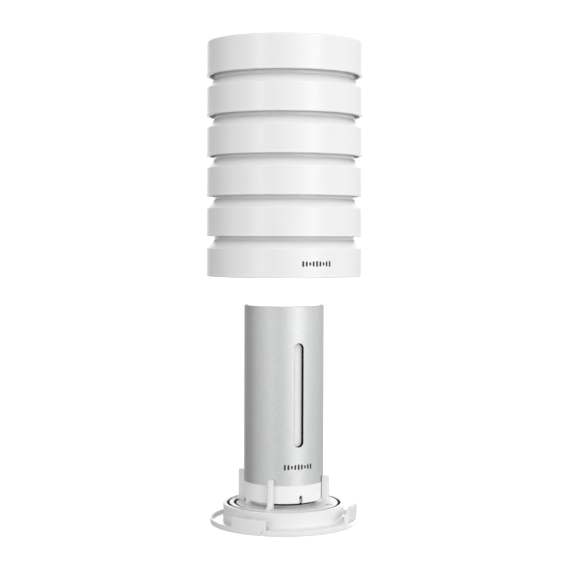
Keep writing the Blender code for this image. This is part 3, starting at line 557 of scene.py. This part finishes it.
def cell_wrap(name):
    """Two-tone shrink sleeve of a battery, split by height."""
    copper_band = 12.0
    blur = 0.2
    material, shader = new_material(name)
    nodes = material.node_tree.nodes
    coordinates = nodes.new("ShaderNodeTexCoord")
    separate = nodes.new("ShaderNodeSeparateXYZ")
    material.node_tree.links.new(coordinates.outputs["Object"], separate.inputs[0])
    split = high("battery_left").z - copper_band
    step = spread(material, separate.outputs["Z"], 0, 1, (split - blur) * MM, (split + blur) * MM)
    tinted(material, shader, step, (0.03, 0.035, 0.05), (0.62, 0.42, 0.16))
    grain = noise_of(material, 500.0)
    glossed(material, shader, grain, 0.22, 0.34)
    bumped(material, shader, grain, 0.000005)
    return material


# ---------------------------------------------------------------- shapes

def polar(radius, angle, height):
    """Point at a radius and an angle from the front, in metres."""
    turn = math.radians(angle)
    return Vector((radius * math.sin(turn), -radius * math.cos(turn), height)) * MM


def rounded(corners, steps):
    """Outline with round corners; a corner is two coordinates and, if it is round, a fillet."""
    result = []
    for i, corner in enumerate(corners):
        here = Vector(corner[:2])
        fillet = corner[2] if len(corner) > 2 else 0
        if not fillet:
            result.append(tuple(here))
            continue
        before = (Vector(corners[i - 1][:2]) - here).normalized()
        after = (Vector(corners[(i + 1) % len(corners)][:2]) - here).normalized()
        half = before.angle(after) / 2
        centre = here + (before + after).normalized() * (fillet / math.sin(half))
        first = here + before * (fillet / math.tan(half)) - centre
        last = here + after * (fillet / math.tan(half)) - centre
        turn = first.angle_signed(last)
        for k in range(steps + 1):
            swing = -turn * k / steps
            x = first.x * math.cos(swing) - first.y * math.sin(swing)
            y = first.x * math.sin(swing) + first.y * math.cos(swing)
            result.append((centre.x + x, centre.y + y))
    return result


def finished(bm):
    """Mesh of a bmesh, with its faces pointing out."""
    bmesh.ops.recalc_face_normals(bm, faces=bm.faces)
    mesh = bpy.data.meshes.new("shape")
    bm.to_mesh(mesh)
    bm.free()
    return mesh


def turned(outline, segments=ROUND):
    """Solid of revolution about Z from a closed outline of (radius, height) points."""
    bm = bmesh.new()
    rings = []
    for radius, height in outline:
        if radius < 1e-6:
            rings.append([bm.verts.new((0, 0, height * MM))] * segments)
        else:
            angles = [360 * i / segments for i in range(segments)]
            rings.append([bm.verts.new(polar(radius, angle, height)) for angle in angles])
    for first, second in zip(rings, rings[1:] + rings[:1]):
        for i in range(segments):
            j = (i + 1) % segments
            corners = list(dict.fromkeys((first[i], first[j], second[j], second[i])))
            if len(corners) > 2:
                bm.faces.new(corners)
    return finished(bm)


def swept(outline, start, end, step=FINE_STEP):
    """Curved bar: a closed outline of (radius, height) points swept from one angle to another."""
    count = max(1, round(abs(end - start) / step))
    bm = bmesh.new()
    sections = []
    for i in range(count + 1):
        angle = start + (end - start) * i / count
        sections.append([bm.verts.new(polar(radius, angle, height)) for radius, height in outline])
    for first, second in zip(sections, sections[1:]):
        for i in range(len(outline)):
            j = (i + 1) % len(outline)
            bm.faces.new((first[i], first[j], second[j], second[i]))
    bm.faces.new(sections[0])
    bm.faces.new(sections[-1])
    return finished(bm)


def bar(inner, outer, bottom, top, start, end, step=FINE_STEP):
    """Curved bar of rectangular section."""
    outline = ((inner, bottom), (outer, bottom), (outer, top), (inner, top))
    return swept(outline, start, end, step)


def prism(outline, bottom, top):
    """Upright prism over an outline of (x, y) points."""
    bm = bmesh.new()
    lower = [bm.verts.new(Vector((x, y, bottom)) * MM) for x, y in outline]
    upper = [bm.verts.new(Vector((x, y, top)) * MM) for x, y in outline]
    for i in range(len(outline)):
        j = (i + 1) % len(outline)
        bm.faces.new((lower[i], lower[j], upper[j], upper[i]))
    bm.faces.new(lower)
    bm.faces.new(upper)
    return finished(bm)


def arc(radius, start, stop, steps, x=0.0, y=0.0):
    """Points of an arc about (x, y), from one angle to another."""
    swings = [start + (stop - start) * i / steps for i in range(steps + 1)]
    return [(x + radius * math.cos(swing), y + radius * math.sin(swing)) for swing in swings]


def disc_at(circle, angle, radius, bottom, top):
    """Upright cylinder on a circle about the axis."""
    centre = polar(circle, angle, 0) / MM
    outline = arc(radius, 0, 2 * math.pi, DISC_SIDES, centre.x, centre.y)[:-1]
    return prism(outline, bottom, top)


def upright(mesh, angle):
    """Stands a prism on edge: its outline's x runs outwards at an angle and its y runs up."""
    mesh.transform(Matrix.Rotation(math.radians(90), 4, "X"))
    mesh.transform(Matrix.Rotation(math.radians(angle - 90), 4, "Z"))
    return mesh


def facing(mesh, angle):
    """Turns a prism so that its outline's x runs sideways, its y up and its depth outwards."""
    mesh.transform(Matrix.Rotation(math.radians(90), 4, "X"))
    mesh.transform(Matrix.Rotation(math.radians(angle), 4, "Z"))
    return mesh


def grouped(meshes):
    """Several separate shapes in one mesh."""
    bm = bmesh.new()
    for mesh in meshes:
        bm.from_mesh(mesh)
    return finished(bm)


def applied(owner, helpers=()):
    """Mesh of an object with its modifiers applied; the object and its helpers are deleted."""
    depsgraph = bpy.context.evaluated_depsgraph_get()
    result = bpy.data.meshes.new_from_object(owner.evaluated_get(depsgraph))
    for item in (*helpers, owner):
        bpy.data.objects.remove(item)
    return result


def carved(body, add=(), remove=()):
    """Mesh of a body with other shapes united to it and then cut from it."""
    owner = placed("owner", body)
    helpers = []
    for operation, meshes in (("UNION", add), ("DIFFERENCE", remove)):
        for mesh in meshes:
            helper = placed("helper", mesh)
            helpers.append(helper)
            modifier = owner.modifiers.new(operation.lower(), "BOOLEAN")
            modifier.operation = operation
            modifier.object = helper
    return applied(owner, helpers)


def softened(mesh, width, segments=3, angle=50):
    """Mesh with its sharp edges rounded."""
    owner = placed("owner", mesh)
    modifier = owner.modifiers.new("soft_edges", "BEVEL")
    modifier.width = width * MM
    modifier.segments = segments
    modifier.limit_method = "ANGLE"
    modifier.angle_limit = math.radians(angle)
    modifier.miter_outer = "MITER_ARC"
    return applied(owner)


def piece(name, mesh, material, slot, body, *nodes):
    """Visible piece that stands for CAD nodes and rides on their body."""
    mesh.name = name
    mesh.materials.clear()
    mesh.materials.append(material)
    mesh.shade_smooth()
    mesh.set_sharp_from_angle(angle=math.radians(SHARP_ANGLE))
    item = placed(name, mesh)
    shading = item.modifiers.new("even_shading", "WEIGHTED_NORMAL")
    shading.keep_sharp = True
    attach(item, body)
    if nodes:
        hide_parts(*nodes)
    return item


def shifted(mesh, z):
    """Copy of a mesh moved up."""
    mesh = mesh.copy()
    mesh.transform(Matrix.Translation((0, 0, z * MM)))
    return mesh


# ---------------------------------------------------------------- shield

def lug_outline(angle):
    """Rounded lug that reaches inwards from the throat to a rod, seen from above."""
    turn = math.radians(angle)
    outward = Vector((math.sin(turn), -math.cos(turn)))
    across = Vector((-outward.y, outward.x))
    centre = outward * ROD_CIRCLE
    root = outward * LUG_ROOT
    points = [root - across * LUG_RADIUS, root + across * LUG_RADIUS]
    for x, y in arc(LUG_RADIUS, 0, math.pi, LUG_STEPS):
        points.append(centre + across * x - outward * y)
    return [tuple(point) for point in points]


def at_rods(radius, bottom, top):
    """Upright cylinders about the three tie rods."""
    return grouped([disc_at(ROD_CIRCLE, angle, radius, bottom, top) for angle in ROD_ANGLES])


def beaded_rim(rim):
    """First corners of a skirt's outline, with the thin bead that runs round its rim."""
    bead_top = rim + BEAD_HEIGHT
    return (
        (SKIRT_INNER, rim, 0.3), (SHIELD_RADIUS, rim, 0.35), (SHIELD_RADIUS, bead_top, 0.08),
        (WALL_RADIUS, bead_top + BEAD_SLOPE, 0.15),
    )


def louvre_mesh(boss_top):
    """Louvre with a beaded rim, a sloping shoulder, a throat, lugs and spacer bosses."""
    outline = rounded((
        *beaded_rim(0), (WALL_RADIUS, SKIRT_HEIGHT, 0.5), (THROAT_RADIUS, THROAT_FOOT, 1.0),
        (THROAT_RADIUS, THROAT_TOP, 0.6), (THROAT_INNER, THROAT_TOP, 0.5),
        (THROAT_INNER, THROAT_FOOT - 0.5, 1.2), (SKIRT_INNER, SKIRT_HEIGHT - SHOULDER_WALL, 0.8),
    ), 5)
    lug_top = LUG_BOTTOM + LUG_THICKNESS
    lugs = grouped([prism(lug_outline(angle), LUG_BOTTOM, lug_top) for angle in ROD_ANGLES])
    bosses = at_rods(BOSS_RADIUS, lug_top - OVER, boss_top)
    holes = at_rods(ROD_HOLE_RADIUS, LUG_BOTTOM - OVER, boss_top + OVER)
    return carved(turned(outline), add=[lugs, bosses], remove=[holes])


def roof_mesh():
    """Top louvre with its closed roof and the bosses under it."""
    ceiling = SHIELD_TOP - ROOF_THICKNESS
    outline = rounded((
        *beaded_rim(ROOF_RIM), (WALL_RADIUS, SHIELD_TOP, 0.9), (0, SHIELD_TOP), (0, ceiling),
        (SKIRT_INNER, ceiling, 1.2),
    ), 6)
    bosses = at_rods(BOSS_RADIUS, ROOF_BOSS_BOTTOM, ceiling + 0.5)
    holes = at_rods(INSERT_HOLE_RADIUS, ROOF_BOSS_BOTTOM - OVER, ceiling - INSERT_ROOF)
    return carved(turned(outline), add=[bosses], remove=[holes])


def make_shield(white):
    """Fine roof and louvre rings."""
    piece("roof_shell", roof_mesh(), white, "shield_plastic", "shield", "shield_roof")
    ring = louvre_mesh(LUG_BOTTOM + PITCH - GAP)
    last_ring = louvre_mesh(ROOF_BOSS_BOTTOM - RING_RIMS[-1] - GAP)
    for number, (node, rim) in enumerate(zip(RINGS, RING_RIMS), 1):
        mesh = ring if number < len(RINGS) else last_ring
        piece(f"louvre_{number}", shifted(mesh, rim), white, "shield_plastic", "shield", node)


# ---------------------------------------------------------------- weather module

def stadium(width, bottom, top, steps=ARC_STEPS):
    """Outline of an upright slot with round ends, as (sideways, height) points."""
    half = width / 2
    upper = arc(half, 0, math.pi, steps, 0, top - half)
    lower = arc(half, math.pi, 2 * math.pi, steps, 0, bottom + half)
    return upper + lower


def slot_prism(margin, back, front):
    """Prism through the slot, smaller than the slot by a margin all round."""
    outline = stadium(SLOT_WIDTH - 2 * margin, SLOT_BOTTOM + margin, SLOT_TOP - margin)
    return facing(prism(outline, back, front), 0)


def tube_mesh():
    """Tube with a bevelled slot."""
    inner = TUBE_RADIUS - TUBE_WALL
    bottom = COVER_SHOULDER + SKIN
    outline = rounded((
        (inner, bottom), (TUBE_RADIUS, bottom, 0.08), (TUBE_RADIUS, TUBE_TOP, 0.2),
        (inner, TUBE_TOP),
    ), 3)
    slot = slot_prism(0, 0, TUBE_RADIUS + 2 * OVER)
    return softened(carved(turned(outline, TUBE_SIDES), remove=[slot]), TUBE_BEVEL, angle=60)


def slot_shade_sheet_mesh(guide_front):
    """Black sheet that paints the shade inside the slot, from the light guide to just below the
    tube's surface.
    """
    body = slot_prism(SKIN, guide_front + SKIN, TUBE_RADIUS - SLOT_SHADE_SINK)
    hole = slot_prism(SLOT_SHADE_WALL, guide_front - OVER, TUBE_RADIUS + OVER)
    return carved(body, remove=[hole])


def light_guide_mesh(corner, far_corner):
    """Milky bar behind the slot."""
    plan = ((corner.x, corner.y), (far_corner.x, corner.y), (far_corner.x, far_corner.y),
            (corner.x, far_corner.y))
    return softened(prism(plan, corner.z, far_corner.z), 0.5, 4)


def top_cap_mesh():
    """White lid that lies flush in the top of the tube."""
    rim = high("top_cap").x
    bottom = low("top_cap").z
    hollow_top = bottom + LID_HOLLOW
    outline = rounded((
        (0, MODULE_TOP), (0, hollow_top), (rim - LID_WALL, hollow_top), (rim - LID_WALL, bottom),
        (rim, bottom, 0.3), (rim, MODULE_TOP, 0.25),
    ), 5)
    return turned(outline)


def notch_prism(half, bottom, back, front):
    """Arched prism as wide as the notch at the foot of the battery cover, or a little narrower."""
    arch = COVER_BOTTOM + NOTCH_HEIGHT - NOTCH_WIDTH / 2
    outline = [(half, bottom), (-half, bottom)] + arc(half, math.pi, 0, ARC_STEPS, 0, arch)
    return facing(prism(outline, back, front), NOTCH_ANGLE)


def cover_mesh():
    """Battery cover with a soft lower edge, a collar and the arched notch."""
    base = COVER_BOTTOM
    top = high("battery_cover").z
    collar_inner = COLLAR_RADIUS - COLLAR_WALL
    outline = rounded((
        (0, base), (TUBE_RADIUS, base, 0.5), (TUBE_RADIUS, COVER_SHOULDER, 0.08),
        (COLLAR_RADIUS, COVER_SHOULDER), (COLLAR_RADIUS, top, 0.4), (collar_inner, top),
        (collar_inner, base + COVER_FLOOR, 0.8), (0, base + COVER_FLOOR),
    ), 5)
    notch = notch_prism(NOTCH_WIDTH / 2, base - OVER, NOTCH_BACK, TUBE_RADIUS + 2 * OVER)
    return carved(turned(outline), remove=[notch])


def notch_shade_sheet_mesh():
    """Black sheet at the back of the notch that paints the shade inside it."""
    return notch_prism(NOTCH_WIDTH / 2 - NOTCH_SHADE_MARGIN, COVER_BOTTOM + NOTCH_SHADE_FOOT,
                       NOTCH_BACK + SKIN, NOTCH_BACK + GAP - SKIN)


def catch_mesh():
    """Small tab in the notch."""
    bottom = low("cover_catch").z
    top = high("cover_catch").z
    half = NOTCH_WIDTH / 2 - GAP
    body = prism(((-half, bottom), (half, bottom), (half, top), (-half, top)),
                 NOTCH_BACK + GAP, TUBE_RADIUS - CATCH_SINK)
    return softened(facing(body, NOTCH_ANGLE), 0.2)


def mark_shapes():
    """Row of rounded bars that rise and fall, a plain level sign without letters."""
    shapes = []
    for i in range(MARK_BARS):
        centre = MARK_LENGTH * (i / (MARK_BARS - 1) - 0.5)
        swell = abs(math.cos(math.pi * i / MARK_PERIOD))
        half = MARK_HEIGHT * (MARK_LOW + (1 - MARK_LOW) * swell) / 2
        outline = stadium(MARK_BAR_WIDTH, -half, half, MARK_BAR_STEPS)
        shapes.append([(centre + x, y) for x, y in outline])
    return shapes


def mark_mesh(radius, angle, height):
    """The mark, wrapped on a cylinder as a thin layer."""
    bm = bmesh.new()
    for shape in mark_shapes():
        sides = []
        for level in (radius - MARK_DEPTH, radius):
            ring = []
            for sideways, up in shape:
                turn = angle + math.degrees(sideways / radius)
                ring.append(bm.verts.new(polar(level, turn, height + up)))
            sides.append(ring)
        for i in range(len(shape)):
            j = (i + 1) % len(shape)
            bm.faces.new((sides[0][i], sides[0][j], sides[1][j], sides[1][i]))
        bm.faces.new(sides[0])
        bm.faces.new(sides[1])
    return finished(bm)


def make_module(white, metal_skin, guide, grey, ink, black):
    """Tube, lid, light guide and battery cover, and the mark on the tube and on the lowest band."""
    piece("tube_shell", tube_mesh(), metal_skin, "tube_aluminium", "module", "sensor_tube")
    lid = piece("lid", top_cap_mesh(), white, "module_plastic", "module", "top_cap")
    make_fill_lamp("lid_lamp", Vector((0, 0, LAMP_DISTANCE)), LID_LAMP_POWER, lid)
    guide_low = low("slot_diffuser")
    guide_bar = light_guide_mesh(guide_low, high("slot_diffuser"))
    piece("light_guide", guide_bar, guide, "diffuser_plastic", "module", "slot_diffuser")
    # painted shade: a black sheet in the slot, where there is only shade between tube and guide
    piece("slot_painted_shade", slot_shade_sheet_mesh(-guide_low.y), black, "black_rubber", "module")
    piece("cover_shell", cover_mesh(), white, "module_plastic", "cover", "battery_cover")
    piece("catch_tab", catch_mesh(), grey, "grey_plastic", "cover", "cover_catch")
    # painted shade: a black sheet at the back of the notch, where there is only shade
    piece("notch_painted_shade", notch_shade_sheet_mesh(), black, "black_rubber", "cover")
    mark = mark_mesh(TUBE_RADIUS + SKIN, TUBE_MARK_ANGLE, TUBE_MARK_CENTRE)
    piece("tube_mark", mark, ink, "chip_plastic", "module")
    mark = mark_mesh(WALL_RADIUS + SKIN, BAND_MARK_ANGLE, BAND_MARK_CENTRE)
    piece("band_mark", mark, ink, "chip_plastic", "shield")


# ---------------------------------------------------------------- base

def base_mesh():
    """Flange and drum with grooves, bowl, strip windows and the latch's guide post."""
    outline = rounded((
        (0, 0), (FLANGE_RADIUS, 0, 0.35), (FLANGE_RADIUS, FLANGE_THICKNESS, 0.5),
        (DRUM_FOOT_RADIUS, FLANGE_THICKNESS, 2.0), (DRUM_RADIUS, DRUM_TOP, 0.45),
        (OUTER_GROOVE[1], DRUM_TOP, 0.25), (OUTER_GROOVE[1], GROOVE_FLOOR),
        (OUTER_GROOVE[0], GROOVE_FLOOR), (OUTER_GROOVE[0], DRUM_TOP, 0.25),
        (INNER_GROOVE[0], DRUM_TOP, 0.15), (INNER_GROOVE[0], BOWL_FLOOR), (0, BOWL_FLOOR),
    ), 4)
    window = (DRUM_FOOT_RADIUS + GAP, FLANGE_RADIUS + 2 * OVER, -OVER,
              FLANGE_THICKNESS + WINDOW_HEADROOM)
    cuts = [
        bar(*window, -STRIP_REAR, PANEL_SPAN[1] + STRIP_PLAY),
        bar(*window, RIGHT_STRIP_START - STRIP_PLAY, STRIP_REAR),
        bar(INNER_GROOVE[0] - OVER, INNER_GROOVE[1], GROOVE_FLOOR, DRUM_TOP + OVER,
            *INNER_GROOVE_SPAN),
    ]
    post = bar(POST_INNER, FLANGE_RADIUS, POST_BOTTOM, POST_TOP, *POST_SPAN, POST_STEP)
    return carved(turned(outline), add=[softened(post, 0.3)], remove=cuts)


def seal_section(groove):
    """Section of the seal in a groove."""
    inner = groove[0] + SKIN
    outer = groove[1] - SKIN
    bottom = GROOVE_FLOOR + GAP
    return rounded((
        (inner, bottom), (outer, bottom), (outer, SEAL_TOP, 0.3), (inner, SEAL_TOP, 0.3),
    ), 3)


def clip_mesh(angle, top):
    """Upright clip arm with round outer corners and a small foot that spreads over the deck."""
    half = CLIP_WIDTH / 2
    inside = CLIP_INNER + CLIP_PLAY
    foot_half = half - CLIP_PLAY / 2
    instep = [(CLIP_OUTER + outside, DRUM_TOP + above) for outside, above in CLIP_INSTEP]
    foot = prism((
        (inside, CRADLE_DECK - OVER), (CLIP_STEM, CRADLE_DECK - OVER), (CLIP_STEM, CLIP_SOLE),
        (CLIP_FOOT, CLIP_SOLE), (CLIP_FOOT, CLIP_TOE), *instep, (inside, instep[-1][1]),
    ), -foot_half, foot_half)
    plan = rounded(((CLIP_INNER, -half, 0.3), (CLIP_OUTER, -half, CLIP_CORNER),
                    (CLIP_OUTER, half, CLIP_CORNER), (CLIP_INNER, half, 0.3)), 5)
    arm = softened(prism(plan, DRUM_TOP + CLIP_PLAY, top), 0.25, angle=60)
    arm.transform(Matrix.Rotation(math.radians(angle - 90), 4, "Z"))
    return carved(arm, add=[softened(upright(foot, angle), 0.2, angle=35)])


def cradle_mesh():
    """Round deck with a raised seat and four clip arms."""
    bottom = BOWL_FLOOR + GAP
    rim = INNER_GROOVE[0] - CRADLE_PLAY
    hollow_top = CRADLE_DECK - CRADLE_WALL
    outline = rounded((
        (CRADLE_BORE, bottom), (rim, bottom), (rim, CRADLE_DECK, 0.3),
        (SEAT_OUTER - SEAT_UNDERCUT, CRADLE_DECK), (SEAT_WALL, SEAT_SHADE_LIP),
        (SEAT_WALL, SEAT_RING_TOP), (SEAT_INNER, SEAT_RING_TOP, 0.2),
        (SEAT_INNER, hollow_top), (CRADLE_BORE, hollow_top),
    ), 3)
    clips = [clip_mesh(angle, top) for angle, top in CLIPS]
    ledges = []
    for span in SEAT_LEDGES:
        ledge = bar(*SEAT_PAD, SEAT_RING_TOP - 0.5, SEAT_TOP, *span)
        ledges.append(softened(ledge, 0.15, 2))
    return carved(turned(outline), add=clips + ledges)


def seat_pad_mesh():
    """Open rubber ring on the seat, with a black lip hung over the seat's edge as painted shade
    under the cover.
    """
    inner = SEAT_PAD[0]
    bottom = SEAT_RING_TOP + SKIN
    shade_lip_inner = SEAT_WALL + SKIN
    section = rounded((
        (inner, bottom, 0.1), (shade_lip_inner, bottom), (shade_lip_inner, SEAT_SHADE_LIP), (SEAT_OUTER, SEAT_SHADE_LIP),
        (SEAT_OUTER, SEAT_TOP, 0.15), (inner, SEAT_TOP, 0.2),
    ), 4)
    return swept(section, *SEAT_PAD_SPAN)


def strip_mesh(start, end):
    """Springy strip at the edge of the flange."""
    section = rounded(((STRIP_INNER, 0, 0.2), (FLANGE_RADIUS, 0, 0.3),
                       (FLANGE_RADIUS, FLANGE_THICKNESS, 0.3),
                       (STRIP_INNER, FLANGE_THICKNESS, 0.3)), 3)
    return swept(section, start, end)


def strip_left_mesh():
    """Springy strip with the tall grip panel, which has a notch at its foot."""
    panel = bar(PANEL_INNER, FLANGE_RADIUS, 0, PANEL_TOP, *PANEL_SPAN)
    notch = bar(PANEL_INNER - OVER, FLANGE_RADIUS + OVER, -OVER, FLANGE_THICKNESS - NOTCH_SINK,
                *PANEL_NOTCH)
    panel = softened(carved(panel, remove=[notch]), 0.4, 4)
    strip = strip_mesh(-STRIP_REAR + STRIP_PLAY, PANEL_SPAN[0] + PANEL_OVERLAP)
    return carved(panel, add=[strip])


def latch_mesh():
    """Forked release latch."""
    foot_radius = FLANGE_RADIUS - LATCH_STEP
    step_bottom, step_top = LATCH_STEP_SPAN
    outline = (
        (LATCH_INNER, LATCH_BOTTOM), (foot_radius, LATCH_BOTTOM), (foot_radius, step_bottom),
        (FLANGE_RADIUS, step_top), (FLANGE_RADIUS, LATCH_TOP - LATCH_CHAMFER),
        (FLANGE_RADIUS - LATCH_CHAMFER, LATCH_TOP), (LATCH_INNER, LATCH_TOP),
    )
    start, end = LATCH_SPAN
    slit_start, slit_end = LATCH_SLIT
    cuts = (
        (LATCH_SLIT_FLOOR, slit_start, slit_end),
        (LATCH_FRONT_TOP, start - OVER, slit_start + 0.5),
        (LATCH_TOP - LATCH_REAR_DROP, LATCH_REAR_START, end + OVER),
    )
    cutters = [bar(LATCH_INNER - OVER, FLANGE_RADIUS + OVER, floor, LATCH_TOP + OVER, first, last)
               for floor, first, last in cuts]
    return softened(carved(swept(outline, start, end), remove=cutters), 0.25)


def make_base(white, black):
    """Fine base pieces."""
    body = piece("base_body", base_mesh(), white, "base_plastic", "base", "base_shell")
    side = direction(CAMERA_AZIMUTH + DRUM_LAMP_AZIMUTH, DRUM_LAMP_ELEVATION)
    make_fill_lamp("drum_lamp", side * LAMP_DISTANCE, DRUM_LAMP_POWER, body)
    seal = turned(seal_section(OUTER_GROOVE))
    piece("outer_ring_seal", seal, black, "black_rubber", "base", "outer_groove_seal")
    start, end = INNER_GROOVE_SPAN
    seal = swept(seal_section(INNER_GROOVE), start + GAP, end - GAP)
    piece("inner_ring_seal", seal, black, "black_rubber", "base", "inner_groove_seal")
    piece("cradle_body", cradle_mesh(), white, "base_plastic", "base", "cradle")
    # the pad itself is a real rubber part; its lip down the seat's wall is painted shade
    piece("seat_ring", seat_pad_mesh(), black, "black_rubber", "base", "seat_pad")
    piece("grip_strip_left", strip_left_mesh(), white, "base_plastic", "base",
          "squeeze_strip_left")
    strip = strip_mesh(RIGHT_STRIP_START, STRIP_REAR - STRIP_PLAY)
    piece("grip_strip_right", strip, white, "base_plastic", "base", "squeeze_strip_right")
    piece("latch_fork", latch_mesh(), white, "base_plastic", "latch", "release_latch")


# ---------------------------------------------------------------- the rest

def dress_nodes(finishes):
    """Gives the CAD nodes that still show the finish of their slot."""
    for row in frame["record"]["subparts"]:
        node = frame["nodes"][row["node"]]
        node.data.materials.clear()
        node.data.materials.append(finishes[row["material_slot"]])


def main():
    """Camera, stage and light first, then every piece."""
    make_camera()
    make_stage()
    make_surround_light()
    bpy.context.scene.view_settings.view_transform = "Standard"
    shield_white = plastic("shield_white", (0.85, 0.85, 0.852), roughness=0.16, grain=700.0,
                           depth=0.000001, variation=0.004, ior=1.65)
    base_white = plastic("base_white", (0.80, 0.80, 0.80), roughness=0.30, grain=900.0,
                         depth=0.000004, variation=0.006)
    module_white = plastic("module_white", (0.87, 0.87, 0.87), roughness=0.40, grain=1200.0,
                           depth=0.000008, variation=0.006)
    grey = plastic("grey_plastic", (0.42, 0.43, 0.44), roughness=0.45, grain=900.0,
                   depth=0.000008, variation=0.04)
    ink = plastic("mark_ink", (0.012, 0.012, 0.013), roughness=0.5, grain=900.0,
                  depth=0.000003, variation=0.2)
    aluminium = blasted_aluminium("blasted_aluminium")
    black = rubber("black_rubber")
    guide = milky("milky_guide_painted_glow")
    dress_nodes({
        "shield_plastic": shield_white, "base_plastic": base_white,
        "module_plastic": module_white, "tube_aluminium": aluminium, "diffuser_plastic": guide,
        "grey_plastic": grey, "black_rubber": black, "board_laminate": board_laminate("board"),
        "chip_plastic": ink, "cell_wrap": cell_wrap("cell_wrap"),
        "steel": metal("bright_steel", (0.62, 0.62, 0.63), 0.25),
        "spring_steel": metal("spring_steel", (0.30, 0.30, 0.31), 0.35),
        "brass": metal("brass", (0.72, 0.53, 0.24), 0.28),
    })
    make_shield(shield_white)
    make_module(module_white, aluminium, guide, grey, ink, black)
    make_base(base_white, black)


main()
